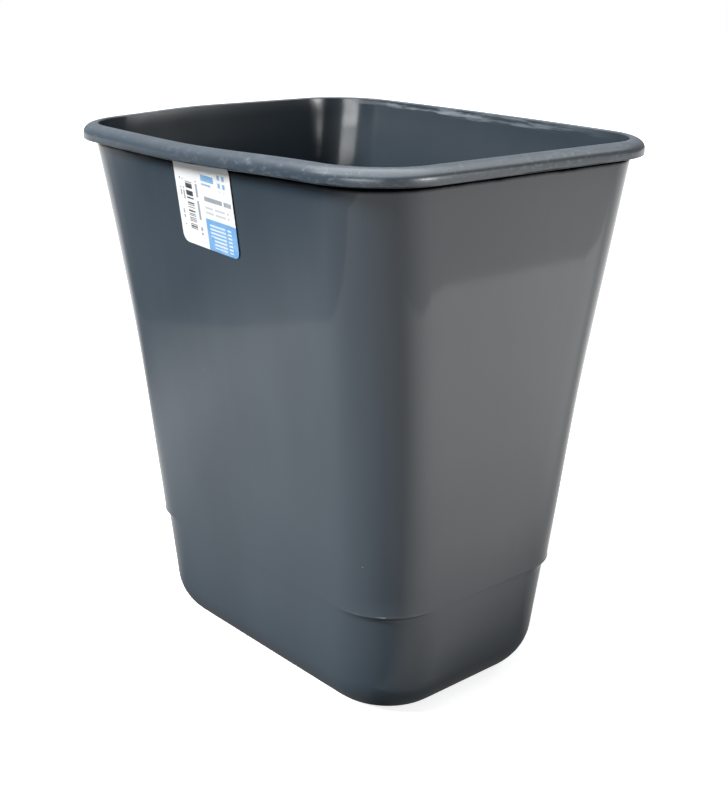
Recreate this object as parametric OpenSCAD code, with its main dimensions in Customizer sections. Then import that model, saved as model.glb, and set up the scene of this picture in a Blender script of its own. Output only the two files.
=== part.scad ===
// Rectangular office wastebasket: one thin-walled moulding with a turned-down rim, and the
// self-adhesive label on one long side. Units are millimetres, +X runs along the long sides,
// +Z is up, and the origin is the middle of the footprint on the floor.

/* [Basket] */
// Overall height, floor to rim
height = 308; // [260:1:380]
// Length over the rim
rim_length = 265.4; // [230:0.2:320]
// Width over the rim, at the middle of the long sides
rim_width = 228.8; // [200:0.2:270]
// Wall thickness
wall = 1.8; // [1.4:0.1:2.4]
// Thickness of the floor panel
floor_panel = 2.2; // [1.6:0.1:3]

/* [Walls] */
// How far each short side leans in from the rim to the floor
end_taper = 20; // [12:0.2:30]
// How far each long side leans in from the rim to the floor
side_taper = 32.2; // [20:0.2:40]
// How far the long sides dish in at half height
side_waist = 4.1; // [0:0.1:6]
// How far the long sides crown outwards at the rim
side_crown = 6.1; // [0:0.1:8]
// Outer corner radius of the upper wall
corner = 33.8; // [28:0.2:44]

/* [Stacking step] */
// Height of the step's upper edge
step_height = 68.8; // [50:0.2:90]
// Height of the sloping ledge under that edge
ledge = 4.4; // [3:0.2:10]
// Recess of the flat sides below the step
step_inset = 0.3; // [0:0.1:1.2]
// Extra corner radius just below the step
step_soften = 4.4; // [2:0.2:8]
// Extra corner radius at the floor
base_soften = 7.8; // [4:0.2:10]

/* [Base] */
// Radius of the turn from wall to underside
base_turn = 25; // [14:0.5:28]
// Width of the flat band that the basket stands on
rest_band = 8; // [5:0.5:14]
// Rise of the underside inside that band
kick_up = 1.4; // [0.6:0.1:3]

/* [Rim] */
// How far the rim stands out from the wall
overhang = 6.6; // [5:0.1:9]
// Height of the rim, crest to lower edge
rim_height = 8.4; // [7:0.1:12]
// Height of the round over the top of the rim
rim_round = 5.2; // [3:0.1:6]
// Thickness of the rim's turned-down skirt
skirt = 1.8; // [1.4:0.1:2.2]
// Crest of the rim, measured out from the wall's outer face
crest = -0.7; // [-0.9:0.1:1]
// Radius of the edge between the crest and the inner wall
inner_round = 1.1; // [0.6:0.1:1.4]
// Depth of the solid plastic over the hollow under the rim
crown_depth = 2.4; // [2:0.1:3.4]

/* [Label] */
// Width of the label
label_width = 48; // [30:1:80]
// Height of the label's lower edge above the floor
label_bottom = 252; // [200:0.5:260]
// Height of the label's upper edge, just under the rim
label_top = 299; // [280:0.2:300]
// Corner radius of the label
label_corner = 4.5; // [1:0.5:8]
// Thickness of the label stock
label_stock = 0.25; // [0.1:0.05:0.5]
// How far the label sits to the right of the middle
label_shift = 3; // [-30:1:30]
// How far the label is turned clockwise, in degrees
label_turn = 3; // [-5:0.5:5]

/* [Hidden] */

CORNER_STEPS = 8;
SIDE_STEPS = 6;
END_STEPS = 2;
ROUND_STEPS = 6;
WALL_STEPS = 7;
PRINT_GAP = 0.05;

end_half = rim_length / 2 - overhang;
side_half = rim_width / 2 - overhang - side_crown;
groove_half = (overhang - skirt) / 2;
groove_spring = height - rim_round;
groove_rise = rim_round - crown_depth;
floor_top = kick_up + floor_panel;

// Shape of the wall's outer face at a height z: it stops leaning at the rim's lower edge
function up(z) = min(1, z / (height - rim_height));
function half_x(z) = end_half - end_taper * (1 - up(z));
function half_y(z) = side_half - side_taper * (1 - up(z)) - side_waist * 4 * up(z) * (1 - up(z));
function crown(z) = side_crown * up(z);
function soften(z) = base_soften + (step_soften - base_soften) * z / step_height;
function face_y(z) = half_y(z) + crown(z);

// How far a height z is into the lower section: 0 above the step, 1 below its ledge
function sunk(z) = z >= step_height ? 0
    : z <= step_height - ledge ? 1
    : sin(90 * (step_height - z) / ledge);

// A rounded rectangle, anticlockwise from +X, whose long sides crown outwards
function corner_points(a, b, r, turn) =
    [for (i = [0:CORNER_STEPS]) let (t = turn + 90 * i / CORNER_STEPS)
        [sign(cos(turn + 45)) * (a - r) + r * cos(t), sign(sin(turn + 45)) * (b - r) + r * sin(t)]];
function between(p, q, steps) = [for (i = [1:steps - 1]) p + (q - p) * i / steps];
function outline(a, b, r) =
    let (c = [for (k = [0:3]) corner_points(a, b, r, 90 * k)])
    [for (k = [0:3])
        each concat(c[k], between(c[k][CORNER_STEPS], c[(k + 1) % 4][0], k % 2 == 0 ? SIDE_STEPS : END_STEPS))];
function crowned(p, a, b, bow) = [p.x, p.y * (1 + bow / b * (1 - pow(p.x / a, 2)))];

// One ring of the moulding: the wall's outline at height z, moved out by grow
function ring(z, grow) =
    let (
        s = sunk(z),
        a = half_x(z) + grow - s * step_inset,
        b = half_y(z) + grow - s * step_inset,
        r = corner + grow + s * soften(z)
    )
    [for (p = outline(a, b, r)) let (q = crowned(p, a, b, crown(z))) [q.x, q.y, z]];

// The moulding's section as [height, distance out from the wall's outer face]
function turn_section(radius, depth, inset, bottom) =
    [for (i = [0:ROUND_STEPS]) let (t = 90 * i / ROUND_STEPS)
        [bottom + depth * (1 - sin(t)), -inset - radius * (1 - cos(t))]];
function step_heights() = [for (i = [ROUND_STEPS - 1:-1:0]) step_height - ledge * i / ROUND_STEPS];
function wall_heights(top) = [for (i = [1:WALL_STEPS]) step_height + (top - step_height) * i / WALL_STEPS];
function climb(top) = concat([base_turn + 18, step_height - ledge], step_heights(), wall_heights(top));
function reversed(list) = [for (i = [len(list) - 1:-1:0]) list[i]];

underside = [
    [kick_up, -base_turn - rest_band - 2 * kick_up],
    [kick_up / 4, -base_turn - rest_band - kick_up / 2],
    [0, -base_turn - rest_band]
];
outer_turn = reversed(turn_section(base_turn, base_turn, 0, 0));
outer_wall = [for (z = concat(climb(height - rim_height), groove_spring)) [z, 0]];
groove = [for (i = [1:ROUND_STEPS]) let (t = 180 - 180 * i / ROUND_STEPS)
    [groove_spring + groove_rise * sin(t), groove_half * (1 + cos(t))]];
skirt_edge = [for (i = [0:4]) let (t = 180 + 180 * i / 4)
    [height - rim_height + skirt / 2 * (1 + sin(t)), overhang - skirt / 2 * (1 - cos(t))]];
rim_top = [for (i = [0:ROUND_STEPS]) let (t = 90 * i / ROUND_STEPS)
    [height - rim_round * (1 - sin(t)), crest + (overhang - crest) * cos(t)]];
rim_inner = [for (i = [1:ROUND_STEPS]) let (t = 90 * i / ROUND_STEPS)
    [height - inner_round * (1 - cos(t)), crest - (crest + wall) * sin(t)]];
inner_wall = [for (z = reversed(climb(height - rim_height))) [z, -wall]];
inner_turn = turn_section(base_turn - wall, base_turn - floor_top, wall, floor_top);
section = concat(underside, outer_turn, outer_wall, groove, skirt_edge, rim_top, rim_inner,
    inner_wall, inner_turn);

// The one-piece moulding: the section carried round the outline, closed by the floor
module basket() {
    rings = [for (s = section) ring(s[0], s[1])];
    m = len(rings[0]);
    top = (len(rings) - 1) * m;
    middle = top + m;
    skin = [for (i = [0:len(rings) - 2], j = [0:m - 1])
        let (k = (j + 1) % m, a = i * m + j, b = i * m + k, c = a + m, d = b + m)
        each [[a, c, d], [a, d, b]]];
    underside_panel = [for (j = [0:m - 1]) [middle, j, (j + 1) % m]];
    inside_panel = [for (j = [0:m - 1]) [middle + 1, top + (j + 1) % m, top + j]];
    color("#4b535e")
        polyhedron(
            points = concat([for (r = rings) each r], [[0, 0, kick_up], [0, 0, floor_top]]),
            faces = concat(underside_panel, skin, inside_panel),
            convexity = 8
        );
}

// Flat label with round corners, lying along the wall between its two edges
module label() {
    foot = face_y(label_bottom);
    lean = face_y(label_top) - foot;
    rise = label_top - label_bottom;
    tall = sqrt(lean * lean + rise * rise);
    inner = [label_width - 2 * label_corner, tall - 2 * label_corner];
    color("#eef1f4")
        translate([label_shift - label_width / 2, -foot - PRINT_GAP, label_bottom])
            rotate([90 + atan2(lean, rise), 0, 0])
                translate([label_width / 2, tall / 2]) rotate(-label_turn)
                    linear_extrude(label_stock) union() {
                        square([label_width, inner.y], center = true);
                        square([inner.x, tall], center = true);
                        for (x = [-1, 1], y = [-1, 1])
                            translate([x * inner.x / 2, y * inner.y / 2]) circle(label_corner, $fn = 48);
                    }
}

basket();
label();
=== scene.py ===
import math

import bmesh
import bpy
from mathutils import Matrix, Vector


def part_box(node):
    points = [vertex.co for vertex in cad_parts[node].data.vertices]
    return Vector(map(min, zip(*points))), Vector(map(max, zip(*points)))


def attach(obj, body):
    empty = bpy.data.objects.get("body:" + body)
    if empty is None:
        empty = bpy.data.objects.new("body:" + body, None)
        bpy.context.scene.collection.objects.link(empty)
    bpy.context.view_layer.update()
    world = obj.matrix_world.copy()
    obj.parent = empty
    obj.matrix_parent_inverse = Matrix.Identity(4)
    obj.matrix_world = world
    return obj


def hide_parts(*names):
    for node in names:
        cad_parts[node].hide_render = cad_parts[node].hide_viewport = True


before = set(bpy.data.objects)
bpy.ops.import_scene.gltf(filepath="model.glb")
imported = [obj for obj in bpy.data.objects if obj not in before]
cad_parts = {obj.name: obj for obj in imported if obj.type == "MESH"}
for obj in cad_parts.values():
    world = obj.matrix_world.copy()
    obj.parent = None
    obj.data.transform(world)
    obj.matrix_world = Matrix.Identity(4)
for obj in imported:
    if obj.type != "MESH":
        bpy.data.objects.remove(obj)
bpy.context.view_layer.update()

MM = 0.001

# ---------------------------------------------------------------------------------------------
# Sizes of the moulding, in metres. The overall ones come from the frame.
# ---------------------------------------------------------------------------------------------
basket_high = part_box("basket")[1]
label_low, label_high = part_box("label")

# Walls: they lean in towards the foot, and the long sides are crowned and a little waisted.
HEIGHT = basket_high.z
OVERHANG = 6.6 * MM
CROWN = 6.1 * MM
END_HALF = basket_high.x - OVERHANG
SIDE_HALF = basket_high.y - OVERHANG - CROWN
END_TAPER = 20.0 * MM
SIDE_TAPER = 32.2 * MM
SIDE_WAIST = 4.1 * MM
CORNER = 33.8 * MM
WALL = 1.8 * MM

# Stacking step: the corners draw in below its ledge, and its edge stands a touch proud.
STEP_HEIGHT = 68.8 * MM
LEDGE = 4.4 * MM
LEDGE_FALL = 0.7
STEP_INSET = 0.1 * MM
STEP_SOFTEN = 4.4 * MM
STEP_PROUD = 0.2
PROUD_HEIGHT = STEP_HEIGHT + 0.264 * MM
PROUD_WIDTH = 0.44 * MM

# Foot and floor: a round turn, a flat band that the basket rests on, a raised panel and a gate mark.
BASE_SOFTEN = 7.8 * MM
BASE_TURN = 25.0 * MM
REST_BAND = 8.0 * MM
KICK_UP = 1.4 * MM
FLOOR_TOP = 3.6 * MM
FLOOR_RINGS = (25.0 * MM, 6.0 * MM)
GATE_DISH = 9.0 * MM
GATE_DISH_DEPTH = 0.6 * MM
GATE_DISH_SLOPE = 0.8 * MM
GATE_NUB = 2.2 * MM
GATE_NUB_DROP = 0.5 * MM
GATE_NUB_SLOPE = 0.4 * MM

# Rim: rolled out and down to a skirt, hollow between the skirt and the wall.
RIM_HEIGHT = 8.4 * MM
RIM_ROUND = 5.2 * MM
SKIRT = 1.8 * MM
SKIRT_EDGE = 0.45 * MM
CREST = -0.7 * MM
INNER_ROUND = 1.1 * MM
GROOVE_ROOF = 2.4 * MM
RIM_LOWER_EDGE = HEIGHT - RIM_HEIGHT

# Sag of the front rim and ripple of the walls, each with where it eases in.
RIM_SAG = 2.8 * MM
SAG_HEIGHTS = (240 * MM, 300 * MM)
SAG_FRONT = (10 * MM, 85 * MM)
SAG_ALONG = (-20 * MM, 95 * MM)
RIPPLE = 0.18 * MM
RIPPLE_STARTS = (70 * MM, 110 * MM)
RIPPLE_STOPS = (270 * MM, 296 * MM)
SWELL_LENGTH = 27 * MM
SWELL_HEIGHT = 23 * MM
SWELL_SHIFTS = (1.3, 0.4)
SLANT_SHARE = 0.6
SLANT_LENGTH = 21 * MM
SLANT_HEIGHT = 34 * MM
SLANT_DEPTH = 1.4

# How finely the outline and the section are divided.
CORNER_STEPS = 14
SIDE_STEPS = 22
END_STEPS = 14
RING = 4 * CORNER_STEPS + 2 * SIDE_STEPS + 2 * END_STEPS
KICK_SHARES = (0.0, 0.12, 0.5, 0.88, 1.0)
FOOT_STEPS = 12
LOWER_SHARES = (0.35, 0.7)
LEDGE_SHARES = (1.0, 0.85, 0.65, 0.48, 0.34, 0.22, 0.13, 0.07, 0.03, 0.0, -0.04, -0.09, -0.16, -0.3)
WALL_STEPS = 20
ROOF_STEPS = 10
SKIRT_STEPS = 8
ROLL_STEPS = 14
INNER_STEPS = 6
SHARP = math.radians(50)
HEIGHT_LAYER = "moulded_height"


# ---------------------------------------------------------------------------------------------
# Shape of the wall at a height z
# ---------------------------------------------------------------------------------------------
def climbed(z):
    """How far a height is up the leaning wall, which stops leaning at the rim's lower edge."""
    return min(1.0, z / RIM_LOWER_EDGE)


def half_x(z):
    return END_HALF - END_TAPER * (1 - climbed(z))


def half_y(z):
    up = climbed(z)
    return SIDE_HALF - SIDE_TAPER * (1 - up) - SIDE_WAIST * 4 * up * (1 - up)


def crown(z):
    return CROWN * climbed(z)


def sunk(z):
    """0 above the stacking step, 1 below its ledge, and under 0 along the proud edge between them."""
    depth = min(1.0, max(0.0, (STEP_HEIGHT - z) / LEDGE))
    proud = STEP_PROUD * math.exp(-((PROUD_HEIGHT - z) / PROUD_WIDTH) ** 2)
    return math.sin(math.pi / 2 * depth) ** LEDGE_FALL - proud


def plan_point(k, a, b, r, bow):
    """Point k of the rounded rectangle with half sides a and b, corner radius r and crowned long sides."""
    sides = [CORNER_STEPS, SIDE_STEPS, CORNER_STEPS, END_STEPS] * 2
    sign = [(1, 1), (-1, 1), (-1, -1), (1, -1)]
    part = 0
    while k >= sides[part]:
        k -= sides[part]
        part += 1
    corner = part // 2
    share = k / sides[part]
    if part % 2 == 0:
        turn = math.pi / 2 * (corner + share)
        x = sign[corner][0] * (a - r) + r * math.cos(turn)
        y = sign[corner][1] * (b - r) + r * math.sin(turn)
    else:
        turn = math.pi / 2 * (corner + 1)
        reach = Vector((r * math.cos(turn), r * math.sin(turn)))
        start, end = [Vector((sx * (a - r), sy * (b - r))) + reach
                      for sx, sy in (sign[corner], sign[(corner + 1) % 4])]
        x, y = start.lerp(end, share)
    return x, y * (1 + bow / b * (1 - (x / a) ** 2))


def eased(value, start, stop):
    """0 before start, 1 after stop, with a smooth rise between them."""
    share = min(1.0, max(0.0, (value - start) / (stop - start)))
    return share * share * (3 - 2 * share)


def sag(x, y, z):
    """The rim's thin front side hangs a little between its corners, most towards -X."""
    return RIM_SAG * eased(z, *SAG_HEIGHTS) * eased(-y, *SAG_FRONT) * (1 - eased(x, *SAG_ALONG))


def ripple(x, y, z):
    """The sink and swell of the cooled walls, a fraction of a millimetre over some centimetres."""
    swell = math.sin(x / SWELL_LENGTH + SWELL_SHIFTS[0]) * math.sin(z / SWELL_HEIGHT + SWELL_SHIFTS[1])
    slant = math.sin((SLANT_DEPTH * y - x) / SLANT_LENGTH + z / SLANT_HEIGHT)
    fade = eased(z, *RIPPLE_STARTS) * (1 - eased(z, *RIPPLE_STOPS))
    return RIPPLE * fade * (swell + SLANT_SHARE * slant)


def wall_ring(z, grow):
    """The moulding's outline at height z, moved out from the wall's outer face by grow."""
    s = sunk(z)
    soften = BASE_SOFTEN + (STEP_SOFTEN - BASE_SOFTEN) * z / STEP_HEIGHT
    a = half_x(z) + grow - s * STEP_INSET
    b = half_y(z) + grow - s * STEP_INSET
    r = CORNER + grow + s * soften
    ring = []
    for k in range(RING):
        x, y = plan_point(k, a, b, r, crown(z))
        moved = Vector((x, y)) + Vector((x ** 3 / a ** 4, y ** 3 / b ** 4)).normalized() * ripple(x, y, z)
        ring.append(Vector((*moved, z - sag(x, y, z))))
    return ring


def round_ring(z, radius):
    """A circle at height z whose points lie in the same directions as the outline's."""
    return [Vector((*(p.xy.normalized() * radius), z)) for p in wall_ring(z, -BASE_TURN)]


# ---------------------------------------------------------------------------------------------
# The section of the moulding, as stations that an edge loop is carried through
# ---------------------------------------------------------------------------------------------
def arc(steps, start, stop):
    """Angles from start to stop in degrees, both included, given in radians."""
    return [math.radians(start + (stop - start) * i / steps) for i in range(steps + 1)]


def wall_levels():
    """Heights of the edge loops from the foot's turn to the rim's lower edge, closest at the step."""
    lower = [BASE_TURN + share * (STEP_HEIGHT - LEDGE - BASE_TURN) for share in LOWER_SHARES]
    step = [STEP_HEIGHT - LEDGE * share for share in LEDGE_SHARES]
    upper = [STEP_HEIGHT + (RIM_LOWER_EDGE - STEP_HEIGHT) * i / WALL_STEPS for i in range(1, WALL_STEPS + 1)]
    return lower + step + upper


def underside():
    """From the gate mark out over the raised panel to the band that the basket rests on."""
    dish = KICK_UP + GATE_DISH_DEPTH
    rings = [round_ring(KICK_UP - GATE_NUB_DROP, GATE_NUB), round_ring(dish, GATE_NUB + GATE_NUB_SLOPE),
             round_ring(dish, GATE_DISH - GATE_DISH_SLOPE), round_ring(KICK_UP, GATE_DISH)]
    for share in KICK_SHARES:
        slope = 2 * KICK_UP * (1 - share)
        rings.append(wall_ring(KICK_UP * (1 - eased(share, 0, 1)), -BASE_TURN - REST_BAND - slope))
    return rings


def outer_wall():
    turn = [wall_ring(BASE_TURN * (1 - math.sin(t)), -BASE_TURN * (1 - math.cos(t)))
            for t in arc(FOOT_STEPS, 90, 0)]
    return turn + [wall_ring(z, 0) for z in wall_levels()]


def rim():
    """Up the hollow under the roll, round the skirt's edge, over the roll and in to the inner face."""
    spring = HEIGHT - RIM_ROUND
    half = (OVERHANG - SKIRT) / 2
    rings = [wall_ring(spring + (RIM_ROUND - GROOVE_ROOF) * math.sin(t), half * (1 + math.cos(t)))
             for t in arc(ROOF_STEPS, 180, 0)]
    for t in arc(SKIRT_STEPS, 180, 360):
        rings.append(wall_ring(RIM_LOWER_EDGE + SKIRT_EDGE * (1 + math.sin(t)),
                               OVERHANG - SKIRT / 2 * (1 - math.cos(t))))
    for t in arc(ROLL_STEPS, 0, 90):
        rings.append(wall_ring(HEIGHT - RIM_ROUND * (1 - math.sin(t)),
                               CREST + (OVERHANG - CREST) * math.cos(t)))
    for t in arc(INNER_STEPS, 0, 90)[1:]:
        rings.append(wall_ring(HEIGHT - INNER_ROUND * (1 - math.cos(t)),
                               CREST - (CREST + WALL) * math.sin(t)))
    return rings


def inner_wall():
    rings = [wall_ring(z, -WALL) for z in reversed(wall_levels())]
    for t in arc(FOOT_STEPS, 0, 90):
        rings.append(wall_ring(FLOOR_TOP + (BASE_TURN - FLOOR_TOP) * (1 - math.sin(t)),
                               -WALL - (BASE_TURN - WALL) * (1 - math.cos(t))))
    return rings + [round_ring(FLOOR_TOP, radius) for radius in FLOOR_RINGS]


def make_piece(name, bm, body="root"):
    """Turns a bmesh into a smooth piece, with edges left sharp where they turn far, that rides on a body."""
    for face in bm.faces:
        face.smooth = True
    for edge in bm.edges:
        edge.smooth = edge.calc_face_angle() < SHARP
    mesh = bpy.data.meshes.new(name)
    bm.to_mesh(mesh)
    bm.free()
    piece = bpy.data.objects.new(name, mesh)
    bpy.context.scene.collection.objects.link(piece)
    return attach(piece, body)


def loft(bm, rings):
    """Carries an edge loop through the rings and closes both ends."""
    loop = bmesh.ops.create_circle(bm, cap_ends=False, segments=RING, radius=1)["verts"]
    first = loop
    for vert, place in zip(loop, rings[0]):
        vert.co = place
    for ring in rings[1:]:
        edges = [bm.edges.get((loop[k], loop[(k + 1) % RING])) for k in range(RING)]
        grown = bmesh.ops.extrude_edge_only(bm, edges=edges)["geom"]
        new_verts = {v for v in grown if isinstance(v, bmesh.types.BMVert)}
        loop = [next(e.other_vert(v) for e in v.link_edges if e.other_vert(v) in new_verts) for v in loop]
        for vert, place in zip(loop, ring):
            vert.co = place
    for end in (first, loop):
        edges = [bm.edges.get((end[k], end[(k + 1) % RING])) for k in range(RING)]
        cap = bmesh.ops.contextual_create(bm, geom=edges)["faces"]
        bmesh.ops.poke(bm, faces=cap)
    bmesh.ops.recalc_face_normals(bm, faces=bm.faces)


def unsagged(x, y, z):
    """The height that a place of the sagged moulding had in the mould."""
    moulded = z
    for again in range(4):
        moulded = z + sag(x, y, moulded)
    return moulded


def make_basket():
    """The moulding, whose vertices also carry their height from before the rim's sag."""
    bm = bmesh.new()
    loft(bm, underside() + outer_wall() + rim() + inner_wall())
    layer = bm.verts.layers.float.new(HEIGHT_LAYER)
    for vert in bm.verts:
        vert[layer] = unsagged(*vert.co)
    return make_piece("basket_moulding", bm)


# ---------------------------------------------------------------------------------------------
# The label
# ---------------------------------------------------------------------------------------------
LABEL_SIZE = Vector((48.0, 47.5)) * MM
LABEL_STOCK = 0.15 * MM
LABEL_CORNER = 4.5 * MM
CORNER_SEGMENTS = 8
LABEL_TURN = math.radians(3.0)
LABEL_GLUE = 0.06 * MM
LABEL_LIFT = 0.5 * MM
LABEL_HELD = 0.36
STRIPS_ACROSS = 16
STRIPS_DOWN = 14


def front_face(x, z):
    """Where the long side's outer face is, on the label's side, once it has sagged and rippled."""
    moulded = z
    for again in range(3):
        y = -(half_y(moulded) + crown(moulded) * (1 - (x / half_x(moulded)) ** 2))
        moulded = z + sag(x, y, moulded)
    return y - ripple(x, y, moulded)


def make_label():
    """A round-cornered sheet, cut into strips that follow the wall. Its right edge has let go a little."""
    bm = bmesh.new()
    width, height = LABEL_SIZE
    bmesh.ops.create_grid(bm, x_segments=1, y_segments=1, size=0.5)
    bmesh.ops.scale(bm, vec=(width, height, 1), verts=bm.verts)
    bmesh.ops.bevel(bm, geom=bm.verts[:], offset=LABEL_CORNER, offset_type="OFFSET",
                    segments=CORNER_SEGMENTS, profile=0.5, affect="VERTICES", material=-1)
    for normal, length, strips in ((Vector((1, 0, 0)), width, STRIPS_ACROSS),
                                   (Vector((0, 1, 0)), height, STRIPS_DOWN)):
        for i in range(1, strips):
            bmesh.ops.bisect_plane(bm, geom=bm.verts[:] + bm.edges[:] + bm.faces[:], dist=MM / 1000,
                                   plane_co=normal * length * (i / strips - 0.5), plane_no=normal)
    middle = (label_low + label_high) / 2
    for vert in bm.verts:
        loose = max(0.0, (vert.co.x / width - LABEL_HELD) / (0.5 - LABEL_HELD))
        x = middle.x + vert.co.x * math.cos(LABEL_TURN) + vert.co.y * math.sin(LABEL_TURN)
        z = middle.z + vert.co.y * math.cos(LABEL_TURN) - vert.co.x * math.sin(LABEL_TURN)
        y = front_face(x, z) - LABEL_GLUE - LABEL_STOCK - LABEL_LIFT * loose ** 2
        vert.co = Vector((x, y, z))
    bmesh.ops.recalc_face_normals(bm, faces=bm.faces)
    if sum(f.normal.y for f in bm.faces) > 0:
        bmesh.ops.reverse_faces(bm, faces=bm.faces)
    bmesh.ops.solidify(bm, geom=bm.faces[:], thickness=LABEL_STOCK)
    bmesh.ops.recalc_face_normals(bm, faces=bm.faces)
    return make_piece("printed_label", bm)


# ---------------------------------------------------------------------------------------------
# Materials
# ---------------------------------------------------------------------------------------------
MIX_BELOW = 6
MIX_ABOVE = 7
MIX_COLOUR = 2


def linear(hex_colour):
    """An sRGB hex colour as linear RGBA."""
    parts = [int(hex_colour[i:i + 2], 16) / 255 for i in (1, 3, 5)]
    return (*[c / 12.92 if c <= 0.04045 else ((c + 0.055) / 1.055) ** 2.4 for c in parts], 1.0)


def add(tree, kind, inputs=None, **settings):
    """Adds a node with its settings. Each input gets a value, a socket or another node's first output."""
    node = tree.nodes.new(kind)
    for name, value in settings.items():
        setattr(node, name, value)
    for name, value in (inputs or {}).items():
        if isinstance(value, bpy.types.Node):
            value = value.outputs[0]
        if isinstance(value, bpy.types.NodeSocket):
            tree.links.new(value, node.inputs[name])
        else:
            node.inputs[name].default_value = value
    return node


def new_material(name):
    material = bpy.data.materials.new(name)
    material.use_nodes = True
    material.node_tree.nodes.clear()
    return material, material.node_tree


def finish_surface(tree, inputs):
    surface = add(tree, "ShaderNodeBsdfPrincipled", inputs)
    add(tree, "ShaderNodeOutputMaterial", {"Surface": surface})


def blotches(tree, place, size, detail=2.0, roughness=0.5, squeeze=(1, 1, 1)):
    """Noise with blotches of about the given size; a squeeze over 1 shortens them along its axis, and one
    under 1 draws them out."""
    squeezed = add(tree, "ShaderNodeMapping", {"Vector": place, "Scale": squeeze})
    grain = add(tree, "ShaderNodeTexNoise", {"Vector": squeezed, "Scale": 0.5 / size, "Detail": detail,
                                             "Roughness": roughness})
    return grain.outputs["Fac"]


def band(tree, value, rise_from, rise_to, fall_from, fall_to):
    """A mask that rises, holds and falls again as a value passes the four limits."""
    rise = add(tree, "ShaderNodeMapRange", {"Value": value, "From Min": rise_from, "From Max": rise_to},
               interpolation_type="SMOOTHSTEP")
    fall = add(tree, "ShaderNodeMapRange", {"Value": value, "From Min": fall_from, "From Max": fall_to,
                                            "To Min": 1.0, "To Max": 0.0}, interpolation_type="SMOOTHSTEP")
    return add(tree, "ShaderNodeMath", {0: rise, 1: fall}, operation="MULTIPLY")


def joined(tree, operation, *masks):
    """Masks joined in turn: by MULTIPLY where all of them have to hold, by MAXIMUM where any of them may."""
    whole = masks[0]
    for mask in masks[1:]:
        whole = add(tree, "ShaderNodeMath", {0: whole, 1: mask}, operation=operation)
    return whole


def layered(tree, ground, coats):
    """A ground colour under coats of other colours, each laid on where its mask is 1."""
    colour = linear(ground)
    for mask, coat in coats:
        mix = add(tree, "ShaderNodeMix", {"Factor": mask, MIX_BELOW: colour, MIX_ABOVE: linear(coat)},
                  data_type="RGBA")
        colour = mix.outputs[MIX_COLOUR]
    return colour


PP_IOR = 1.49
PP_SLATE_DEEP = "#37434E"
PP_SLATE_PALE = "#3F4C57"
PP_SLATE = "#3A4752"
# The darker slate of the painted shade on the inside.
PP_SLATE_INSIDE_SHADE = "#2F353A"
RUBBED_PP = "#8C949C"
DUST = "#A9AFB3"
# Near-black for the painted shade in the corner under the rim.
RIM_SHADE_COLOUR = "#0E1013"

FLOW_STREAK = 22 * MM
FLOW_CLOUD = 70 * MM
SMEAR_LENGTH = 5 * MM
SMEAR_PATCH = 38 * MM
SCUFF_GRAIN = 1.1 * MM
SCUFF_PATCH = 16 * MM
SCUFF_COVER = (0.36, 0.6, 1.0, 1.1)
FOOT_GRIT = 1.6 * MM
RIM_SHADE_WANDER = 1.6 * MM
RIM_SHADE_PATCH = 9 * MM
DUST_SPACING = 13 * MM
DUST_SIZES = (0.012, 0.03)
DUST_SHARE = 0.22
GLOSS_MOTTLE = 6 * MM
RUBBED_DULLING = 0.35
SINK_SPACING = 34 * MM
SINK_DEPTH = 0.5 * MM
PEEL_SPACING = 2.4 * MM
PEEL_DEPTH = 0.03 * MM

# Heights and places of the marks, each as where it starts, is full, starts to fade and is gone.
SMEAR_HEIGHTS = (301.5 * MM, 304 * MM, 306.8 * MM, 307.8 * MM)
SMEAR_ALONG = (-125 * MM, -100 * MM, -20 * MM, 110 * MM)
SMEAR_SIDE = (92 * MM, 96 * MM, 200 * MM, 201 * MM)
SCUFF_HEIGHTS = (299 * MM, 301 * MM, 309 * MM, 310 * MM)
FOOT_HEIGHTS = (-2 * MM, -1 * MM, 3 * MM, 9 * MM)
RIM_SHADE_HEIGHTS = (296.2 * MM, 298.4 * MM, 300.6 * MM, 301.4 * MM)


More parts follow.
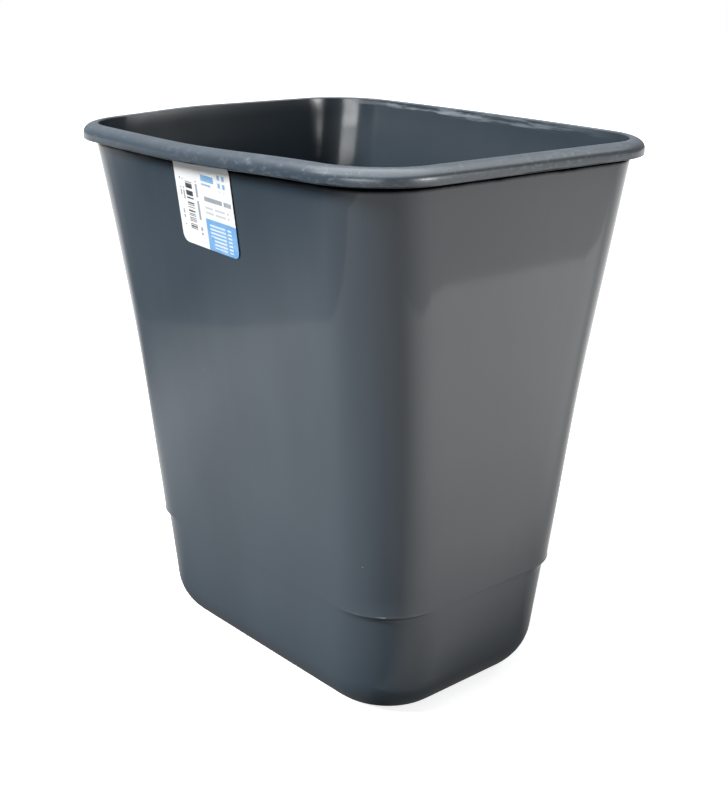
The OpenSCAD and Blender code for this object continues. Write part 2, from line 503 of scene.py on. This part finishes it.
def moulded_polypropylene():
    """Polypropylene with slate masterbatch, from a polished mould: a clear gloss on the walls, a satin rim,
    faint flow marks, stacking rub marks inside the rim, a scuffed roll, a rubbed foot, dust, and painted
    shade on the inside and in a line under the rim."""
    material, tree = new_material("moulded_polypropylene")
    place = add(tree, "ShaderNodeTexCoord").outputs["Object"]
    apart = add(tree, "ShaderNodeSeparateXYZ", {0: place})
    x, y = apart.outputs["X"], apart.outputs["Y"]
    z = add(tree, "ShaderNodeAttribute", attribute_name=HEIGHT_LAYER).outputs["Fac"]
    normal = add(tree, "ShaderNodeNewGeometry").outputs["Normal"]
    facing = add(tree, "ShaderNodeVectorMath", {0: normal, 1: place}, operation="DOT_PRODUCT")
    facing = facing.outputs["Value"]
    inside = add(tree, "ShaderNodeMath", {0: facing, 1: 0.0}, operation="LESS_THAN")
    outside = add(tree, "ShaderNodeMath", {0: facing, 1: 0.0}, operation="GREATER_THAN")

    # The masterbatch: long, faint streaks up the wall, where the melt ran from the gate to the rim.
    streaks = add(tree, "ShaderNodeMapRange", {
        "Value": blotches(tree, place, FLOW_STREAK, detail=3.0, roughness=0.55, squeeze=(1, 1, 0.22)),
        "From Min": 0.35, "From Max": 0.65})
    clouds = blotches(tree, place, FLOW_CLOUD)

    # Painted shade: the inside is coloured a shade darker, for the shade that falls inside the basket.
    painted_inside_shade = add(tree, "ShaderNodeMapRange", {"Value": facing, "From Min": -0.02, "From Max": 0.0,
                                            "To Min": 0.5, "To Max": 0.0})

    # Rub marks of a stacked neighbour: pale smears along the inside of the back rim.
    smears = add(tree, "ShaderNodeMapRange", {
        "Value": blotches(tree, place, SMEAR_LENGTH, detail=5.0, roughness=0.62, squeeze=(0.2, 0.2, 2.4)),
        "From Min": 0.44, "From Max": 0.60, "To Max": 0.9}, interpolation_type="SMOOTHSTEP")
    patches = add(tree, "ShaderNodeMapRange", {
        "Value": blotches(tree, place, SMEAR_PATCH), "From Min": 0.36, "From Max": 0.5},
        interpolation_type="SMOOTHSTEP")
    rubbed = joined(tree, "MULTIPLY", smears, patches, inside, band(tree, z, *SMEAR_HEIGHTS),
                    band(tree, x, *SMEAR_ALONG), band(tree, y, *SMEAR_SIDE))

    # Handling: the rim's roll is scuffed by hands and lids, the foot along its lowest few millimetres.
    scratches = add(tree, "ShaderNodeMapRange", {
        "Value": blotches(tree, place, SCUFF_GRAIN, detail=4.0, roughness=0.75, squeeze=(0.5, 0.5, 1.0)),
        "From Min": 0.52, "From Max": 0.72, "To Max": 0.42})
    handled = band(tree, blotches(tree, place, SCUFF_PATCH, detail=3.0), *SCUFF_COVER)
    scuffed = joined(tree, "MULTIPLY", scratches, handled, band(tree, z, *SCUFF_HEIGHTS), outside)
    grit = add(tree, "ShaderNodeMapRange", {
        "Value": blotches(tree, place, FOOT_GRIT, detail=4.0, roughness=0.7),
        "From Min": 0.55, "From Max": 0.75})
    foot = joined(tree, "MULTIPLY", grit, band(tree, z, *FOOT_HEIGHTS))
    pale = joined(tree, "MAXIMUM", rubbed, foot, scuffed)

    # Painted shade: a dark line painted along the corner under the rim, where the rim's shadow falls.
    wander = blotches(tree, place, RIM_SHADE_PATCH, detail=3.0)
    height = add(tree, "ShaderNodeMath", {0: wander, 1: RIM_SHADE_WANDER, 2: z}, operation="MULTIPLY_ADD")
    painted_rim_shade = joined(tree, "MULTIPLY", outside, band(tree, height, *RIM_SHADE_HEIGHTS))

    # Dust: pale specks well under a millimetre, a few to the hand's breadth. Their sizes are shares of the
    # spacing of the cells that hold them, and only some of the cells have one.
    cells = add(tree, "ShaderNodeTexVoronoi", {"Vector": place, "Scale": 1 / DUST_SPACING})
    chance = add(tree, "ShaderNodeSeparateColor", {0: cells.outputs["Color"]})
    speck = add(tree, "ShaderNodeMapRange", {"Value": chance.outputs["Green"], "To Min": DUST_SIZES[0],
                                             "To Max": DUST_SIZES[1]})
    near = add(tree, "ShaderNodeMath", {0: cells.outputs["Distance"], 1: speck}, operation="LESS_THAN")
    few = add(tree, "ShaderNodeMath", {0: chance.outputs["Red"], 1: DUST_SHARE}, operation="LESS_THAN")
    dust = joined(tree, "MULTIPLY", near, few)

    colour = layered(tree, PP_SLATE_DEEP, (
        (streaks, PP_SLATE_PALE), (clouds, PP_SLATE), (painted_inside_shade, PP_SLATE_INSIDE_SHADE), (pale, RUBBED_PP), (dust, DUST),
        (painted_rim_shade, RIM_SHADE_COLOUR)))
    # The specular is turned off along the painted shade under the rim, so no reflection lightens it.
    shine = add(tree, "ShaderNodeMapRange", {"Value": painted_rim_shade, "To Min": 0.5, "To Max": 0.0})

    # Gloss: clear on the walls, satin on the rim's roll and inside, dull where it's rubbed or dusty.
    roll = add(tree, "ShaderNodeMapRange", {"Value": z, "From Min": 296 * MM, "From Max": 300 * MM,
                                            "To Min": 0.06, "To Max": 0.31})
    satin = add(tree, "ShaderNodeMapRange", {"Value": facing, "From Min": -0.04, "From Max": 0.0,
                                             "To Min": 0.19, "To Max": roll})
    mottle = add(tree, "ShaderNodeMapRange", {
        "Value": blotches(tree, place, GLOSS_MOTTLE, detail=4.0, roughness=0.6),
        "From Min": 0.3, "From Max": 0.7, "To Min": -0.01, "To Max": 0.02})
    dull = add(tree, "ShaderNodeMath", {0: joined(tree, "MAXIMUM", pale, dust), 1: RUBBED_DULLING,
                                        2: joined(tree, "ADD", satin, mottle)}, operation="MULTIPLY_ADD")

    # Skin: shallow sink marks a few centimetres long and the mould's fine orange peel.
    sinks = add(tree, "ShaderNodeBump", {
        "Height": blotches(tree, place, SINK_SPACING, detail=1.0), "Strength": 0.12, "Distance": SINK_DEPTH})
    peel = add(tree, "ShaderNodeBump", {
        "Height": blotches(tree, place, PEEL_SPACING), "Strength": 0.06, "Distance": PEEL_DEPTH,
        "Normal": sinks})
    finish_surface(tree, {"Base Color": colour, "Roughness": dull, "IOR": PP_IOR,
                          "Specular IOR Level": shine, "Normal": peel})
    return material


PAPER = "#FAFBFC"
PAPER_TONED = "#E4E8EC"
PANEL_BLUE = "#6FAEE6"
HEADING_BLUE = "#7FB4DE"
STRIPE_INK = "#23282C"
PALE_INK = "#9DA6AD"
FAINT_INK = "#CBD3DA"
PLAIN_LINE = "#DCEBFA"

PAPER_CLOUD = 3 * MM
COAT_CLOUD = 1.2 * MM
CREASE_SPACING = 7 * MM
CREASE_DEPTH = 0.15 * MM

# Where things are printed, as shares of the label's width and height: left, right, top, bottom.
PANEL = (0.475, 1.2, 0.645, 1.2)
PANEL_LINES = ((0.50, 0.90, 0.685, 0.84), (0.58, 0.90, 0.84, 0.965))
STRIPES = (0.18, 0.30, 0.27, 0.83)
SIDE_NOTES = ((0.075, 0.10, 0.26, 0.46), (0.075, 0.10, 0.62, 0.80), (0.125, 0.15, 0.27, 0.50))
STRIPE_NOTE = (0.36, 0.395, 0.26, 0.86)
HEADING = ((0.48, 0.70, 0.165, 0.235), (0.48, 0.64, 0.26, 0.28))
TILES = (0.77, 0.93, 0.12, 0.30)
TITLE = (0.50, 0.965, 0.40, 0.45)
FAINT_LINES = (0.50, 0.90, 0.51, 0.625)


def label_paper():
    """Coated white label stock, printed with a blue panel, a block of stripes and plain bars for text."""
    material, tree = new_material("printed_label_paper")
    place = add(tree, "ShaderNodeTexCoord").outputs["Object"]
    middle = (label_low + label_high) / 2
    square = add(tree, "ShaderNodeMapping", {"Vector": place, "Location": middle,
                                             "Rotation": (0, LABEL_TURN, 0)}, vector_type="TEXTURE")
    apart = add(tree, "ShaderNodeSeparateXYZ", {0: square})
    across, down = [add(tree, "ShaderNodeMapRange", {
        "Value": apart.outputs[axis], "From Min": -half, "From Max": half}, clamp=False)
        for axis, half in (("X", LABEL_SIZE.x / 2), ("Z", -LABEL_SIZE.y / 2))]

    def window(left, right, top, bottom):
        """1 inside a rectangle."""
        columns, rows = [add(tree, "ShaderNodeMath", {0: value, 1: (low + high) / 2, 2: (high - low) / 2},
                             operation="COMPARE")
                         for value, low, high in ((across, left, right), (down, top, bottom))]
        return joined(tree, "MULTIPLY", columns, rows)

    def windows(rectangles):
        return joined(tree, "MAXIMUM", *[window(*rectangle) for rectangle in rectangles])

    def bars(value, count, filled, phase):
        """Regular bars: how many fit in the label, and how much of the pitch each fills."""
        turn = add(tree, "ShaderNodeMath", {0: value, 1: count, 2: phase}, operation="MULTIPLY_ADD")
        part = add(tree, "ShaderNodeMath", {0: turn}, operation="FRACT")
        return add(tree, "ShaderNodeMath", {0: part, 1: filled}, operation="LESS_THAN")

    def broken(value, count, share, seed):
        """Bars of chance widths, as in words or stripes."""
        turn = add(tree, "ShaderNodeMath", {0: value, 1: count}, operation="MULTIPLY")
        cell = add(tree, "ShaderNodeMath", {0: turn}, operation="FLOOR")
        shifted = add(tree, "ShaderNodeMath", {0: cell, 1: seed}, operation="ADD")
        chance = add(tree, "ShaderNodeTexWhiteNoise", {"W": shifted}, noise_dimensions="1D")
        return add(tree, "ShaderNodeMath", {0: chance, 1: share}, operation="LESS_THAN")

    panel_lines = joined(tree, "MULTIPLY", windows(PANEL_LINES),
                         bars(down, count=24, filled=0.55, phase=0.2),
                         broken(across, count=30, share=0.9, seed=3.5))
    stripes = joined(tree, "MULTIPLY", window(*STRIPES), broken(down, count=110, share=0.5, seed=11.5))
    side_notes = joined(tree, "MULTIPLY", windows(SIDE_NOTES), broken(down, count=60, share=0.62, seed=21.5))
    stripe_note = joined(tree, "MULTIPLY", window(*STRIPE_NOTE),
                         broken(down, count=48, share=0.66, seed=31.5))
    tiles = joined(tree, "MULTIPLY", window(*TILES), bars(across, count=12.5, filled=0.55, phase=0.4),
                   bars(down, count=11.5, filled=0.6, phase=0.6))
    title = joined(tree, "MULTIPLY", window(*TITLE), broken(across, count=36, share=0.86, seed=41.5))
    faint_lines = joined(tree, "MULTIPLY", window(*FAINT_LINES), bars(down, count=18, filled=0.4, phase=0.8),
                         broken(across, count=30, share=0.85, seed=51.5))
    toned = add(tree, "ShaderNodeMapRange", {
        "Value": blotches(tree, place, PAPER_CLOUD, detail=3.0),
        "From Min": 0.45, "From Max": 0.9, "To Max": 0.35})
    colour = layered(tree, PAPER, (
        (window(*PANEL), PANEL_BLUE), (panel_lines, PLAIN_LINE), (stripes, STRIPE_INK),
        (joined(tree, "MAXIMUM", side_notes, stripe_note, title), PALE_INK),
        (joined(tree, "MAXIMUM", windows(HEADING), tiles), HEADING_BLUE), (faint_lines, FAINT_INK),
        (toned, PAPER_TONED)))
    coat = add(tree, "ShaderNodeMapRange", {"Value": blotches(tree, place, COAT_CLOUD, detail=3.0),
                                            "To Min": 0.30, "To Max": 0.48})
    creases = add(tree, "ShaderNodeBump", {"Height": blotches(tree, place, CREASE_SPACING), "Strength": 0.2,
                                           "Distance": CREASE_DEPTH})
    finish_surface(tree, {"Base Color": colour, "Roughness": coat, "Normal": creases})
    return material


# ---------------------------------------------------------------------------------------------
# Stage: floor, lights and camera
# ---------------------------------------------------------------------------------------------
FLOOR_REACH = 6.0
GLOSS_REACH = 4.0
GLOSS_LIFT = 0.2 * MM


def make_sheet(name, reach, height, material):
    """A level square sheet on the stage, centred on the basket."""
    bm = bmesh.new()
    bmesh.ops.create_grid(bm, x_segments=1, y_segments=1, size=reach)
    bmesh.ops.translate(bm, vec=(0, 0, height), verts=bm.verts)
    mesh = bpy.data.meshes.new(name)
    bm.to_mesh(mesh)
    bm.free()
    mesh.materials.append(material)
    sheet = bpy.data.objects.new(name, mesh)
    bpy.context.scene.collection.objects.link(sheet)
    sheet.visible_diffuse = False
    return sheet


def make_floor():
    """White paper on a light table, which keeps the shadows faint."""
    material, tree = new_material("floor_paper")
    finish_surface(tree, {"Base Color": linear("#F7F7F7"), "Roughness": 0.9, "Specular IOR Level": 0.0,
                          "Emission Color": linear("#FFFFFF"), "Emission Strength": 0.8})
    make_sheet("floor", FLOOR_REACH, 0, material)


# How bright the painted reflection shows the floor, as distances in metres and levels. The first two run out
# from the long side and along x from the short side, the third, the painted shade round the foot, out from
# the foot.
LEFT_LEVEL = [(0.0, 1.2), (0.3, 1.25), (0.465, 1.4), (0.478, 0.95), (0.62, 0.8), (0.8, 0.3)]
RIGHT_LEVEL = [(0.1, 2.3), (0.3, 2.4), (0.61, 2.75), (0.625, 2.0), (1.2, 1.9)]
FOOT_SHADE_LEVEL = [(0.0, 0.02), (0.03, 0.2), (0.07, 0.45), (0.15, 0.75), (0.25, 0.93), (0.35, 1.0)]
REAR_LEVEL = 1.5
LEFT_WAY = Vector((-0.472, -0.881, 0))
RIGHT_WAY = Vector((0.5, 0.87, 0))
BACK_WAY = Vector((-0.17, 0.98, 0))
REAR_WAY = Vector((-0.64, 0.77, 0))
CORNER_PLACE = Vector((0.10, -0.08, 0))


def level(tree, value, stops):
    """A brightness that follows the stops along a value and keeps the end ones beyond them."""
    start, stop = stops[0][0], stops[-1][0]
    peak = max(brightness for distance, brightness in stops)
    share = add(tree, "ShaderNodeMapRange", {"Value": value, "From Min": start, "From Max": stop})
    ramp = add(tree, "ShaderNodeValToRGB", {0: share})
    for i, (distance, brightness) in enumerate(stops):
        where = (distance - start) / (stop - start)
        element = ramp.color_ramp.elements[i] if i < 2 else ramp.color_ramp.elements.new(where)
        element.position = where
        element.color = (brightness / peak, brightness / peak, brightness / peak, 1)
    return add(tree, "ShaderNodeMath", {0: ramp, 1: peak}, operation="MULTIPLY")


def make_gloss_floor():
    """Painted reflection: a glowing sheet that only the gloss sees, showing the floor as white paper with an
    edge on either side, with painted shade round the foot.
    """
    material, tree = new_material("gloss_floor")
    place = add(tree, "ShaderNodeTexCoord").outputs["Object"]
    apart = add(tree, "ShaderNodeSeparateXYZ", {0: place})
    x, y = apart.outputs["X"], apart.outputs["Y"]

    # How far a place lies along each way, from the middle or, for the side ways, from the front corner.
    offset = add(tree, "ShaderNodeVectorMath", {0: place, 1: CORNER_PLACE}, operation="SUBTRACT")
    outward = add(tree, "ShaderNodeVectorMath", {0: offset}, operation="NORMALIZE")
    to_left, to_rear, to_right, to_back = [
        add(tree, "ShaderNodeVectorMath", {0: start, 1: way}, operation="DOT_PRODUCT").outputs["Value"]
        for start, way in ((place, LEFT_WAY), (place, REAR_WAY), (outward, RIGHT_WAY), (outward, BACK_WAY))]

    # The paper before the long side fades out towards -X, and the one by the short side towards +Y.
    fade = add(tree, "ShaderNodeMapRange", {"Value": x, "From Min": -0.52, "From Max": -0.28, "To Min": 0.3},
               interpolation_type="SMOOTHSTEP")
    left = joined(tree, "MULTIPLY", level(tree, to_left, LEFT_LEVEL), fade)
    right = level(tree, x, RIGHT_LEVEL)
    side = add(tree, "ShaderNodeMapRange", {"Value": to_right, "From Min": 0.3, "From Max": 0.95},
               interpolation_type="SMOOTHSTEP")
    dim = add(tree, "ShaderNodeMapRange", {
        "Value": to_back, "From Min": 0.78, "From Max": 0.97, "To Min": 1.0, "To Max": 0.45},
        interpolation_type="SMOOTHSTEP")
    near = joined(tree, "MULTIPLY", add(tree, "ShaderNodeMix", {"Factor": side, "A": left, "B": right}), dim)

    # The rest of the floor is one even grey, and all of it gets painted shade round the foot.
    plain = add(tree, "ShaderNodeMapRange", {"Value": to_rear, "From Min": 0.16, "From Max": 0.5},
                interpolation_type="SMOOTHSTEP")
    paper = add(tree, "ShaderNodeMix", {"Factor": plain, "A": near, "B": REAR_LEVEL})
    away = []
    for value, foot in ((x, END_HALF - END_TAPER - BASE_TURN), (y, SIDE_HALF - SIDE_TAPER - BASE_TURN)):
        size = add(tree, "ShaderNodeMath", {0: value}, operation="ABSOLUTE")
        away.append(add(tree, "ShaderNodeMath", {0: size, 1: foot}, operation="SUBTRACT"))
    painted_foot_shade = level(tree, joined(tree, "MAXIMUM", *away), FOOT_SHADE_LEVEL)
    glow = joined(tree, "MULTIPLY", paper, painted_foot_shade)
    light = add(tree, "ShaderNodeEmission", {"Color": linear("#FFFFFF"), "Strength": glow})
    add(tree, "ShaderNodeOutputMaterial", {"Surface": light})
    sheet = make_sheet("gloss_floor", GLOSS_REACH, GLOSS_LIFT, material)
    sheet.visible_camera = False
    sheet.visible_shadow = False
    sheet.visible_transmission = False


KEY_WAY = Vector((-0.25, -0.75, 0.61))
KEY_STRENGTH = 3.9
KEY_SPREAD = math.radians(20)

# Each softbox: azimuth and elevation in degrees, distance, width, height and radiance.
RIM_BOXES = {
    "left_box": (-118, 46, 1.5, 0.45, 0.45, 6.5),
    "right_box": (62, 41, 1.5, 0.5, 0.4, 3.0)}
CORNER_BOXES = {
    "low_right_box": (20, 9, 1.6, 0.9, 0.4, 9.0),
    "low_right_core": (20, 10, 1.55, 0.42, 0.3, 22.0),
    "low_left_box": (-58, 10, 1.6, 0.9, 0.35, 13.0)}


def make_key():
    """A broad, even light from far off, as from a bank of softboxes; it leaves the gloss to the others."""
    data = bpy.data.lights.new("key", "SUN")
    data.energy = KEY_STRENGTH
    data.angle = KEY_SPREAD
    light = bpy.data.objects.new("key", data)
    light.rotation_euler = KEY_WAY.to_track_quat("Z", "Y").to_euler()
    light.visible_glossy = False
    bpy.context.scene.collection.objects.link(light)


def make_softbox(name, azimuth, elevation, distance, width, height, radiance):
    """A softbox that faces the basket's middle and stays out of the picture."""
    turn, climb = math.radians(azimuth), math.radians(elevation)
    target = Vector((0, 0, HEIGHT / 2))
    toward = Vector((math.cos(turn) * math.cos(climb), math.sin(turn) * math.cos(climb), math.sin(climb)))
    data = bpy.data.lights.new(name, "AREA")
    data.shape = "RECTANGLE"
    data.size = width
    data.size_y = height
    data.energy = radiance * math.pi * width * height
    light = bpy.data.objects.new(name, data)
    light.location = target + toward * distance
    light.rotation_euler = toward.to_track_quat("Z", "Y").to_euler()
    light.visible_camera = False
    bpy.context.scene.collection.objects.link(light)
    return light


def make_softboxes():
    """Highlights along the rim's roll, and glints in the inside corners that only the gloss shows."""
    for name, setup in RIM_BOXES.items():
        make_softbox(name, *setup)
    for name, setup in CORNER_BOXES.items():
        make_softbox(name, *setup).visible_diffuse = False


ROOM_LIGHT = 0.25
SKY_GLOSS = [(0.0, 0.25), (0.26, 0.5), (0.62, 0.72), (0.78, 5.4), (1.0, 6.0)]


def make_world():
    """White behind the basket, dim for the soft light, and brighter towards the ceiling for the gloss."""
    world = bpy.data.worlds.new("studio")
    bpy.context.scene.world = world
    world.use_nodes = True
    tree = world.node_tree
    tree.nodes.clear()
    white = linear("#FFFFFF")
    ray = add(tree, "ShaderNodeLightPath")
    way = add(tree, "ShaderNodeTexCoord").outputs["Generated"]
    climb = add(tree, "ShaderNodeSeparateXYZ", {0: way}).outputs["Z"]
    tent = add(tree, "ShaderNodeBackground", {"Color": white, "Strength": level(tree, climb, SKY_GLOSS)})
    room = add(tree, "ShaderNodeBackground", {"Color": white, "Strength": ROOM_LIGHT})
    backdrop = add(tree, "ShaderNodeBackground", {"Color": white, "Strength": 1.0})
    soft = add(tree, "ShaderNodeMixShader", {0: ray.outputs["Is Glossy Ray"], 1: room, 2: tent})
    seen = add(tree, "ShaderNodeMixShader", {0: ray.outputs["Is Camera Ray"], 1: soft, 2: backdrop})
    add(tree, "ShaderNodeOutputWorld", {"Surface": seen})


CAMERA_PLACE = Vector((547.87, -487.395, 397.711)) * MM
CAMERA_AZIMUTH = math.radians(47.795)
CAMERA_ELEVATION = math.radians(18.718)
CAMERA_ROLL = math.radians(1.205)
CAMERA_LENS = 59.4223
SENSOR_WIDTH = 36.0


def make_camera():
    """Stands in front and to the right, 0.83 m from the basket, looking down on it a little."""
    level_way = Vector((-math.sin(CAMERA_AZIMUTH), math.cos(CAMERA_AZIMUTH), 0))
    forward = level_way * math.cos(CAMERA_ELEVATION) - Vector((0, 0, math.sin(CAMERA_ELEVATION)))
    level_right = forward.cross(Vector((0, 0, 1))).normalized()
    upright = level_right.cross(forward)
    right = math.cos(CAMERA_ROLL) * level_right + math.sin(CAMERA_ROLL) * upright
    up = math.cos(CAMERA_ROLL) * upright - math.sin(CAMERA_ROLL) * level_right
    data = bpy.data.cameras.new("camera")
    data.sensor_width = SENSOR_WIDTH
    data.lens = CAMERA_LENS
    data.clip_start = 10 * MM
    camera = bpy.data.objects.new("camera", data)
    turned = Matrix((right, up, -forward)).transposed().to_4x4()
    camera.matrix_world = Matrix.Translation(CAMERA_PLACE) @ turned
    bpy.context.scene.collection.objects.link(camera)
    bpy.context.scene.camera = camera


basket = make_basket()
basket.data.materials.append(moulded_polypropylene())
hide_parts("basket")

label = make_label()
label.data.materials.append(label_paper())
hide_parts("label")

make_floor()
make_gloss_floor()
make_softboxes()
make_key()
make_world()
make_camera()
bpy.context.scene.view_settings.view_transform = "Standard"
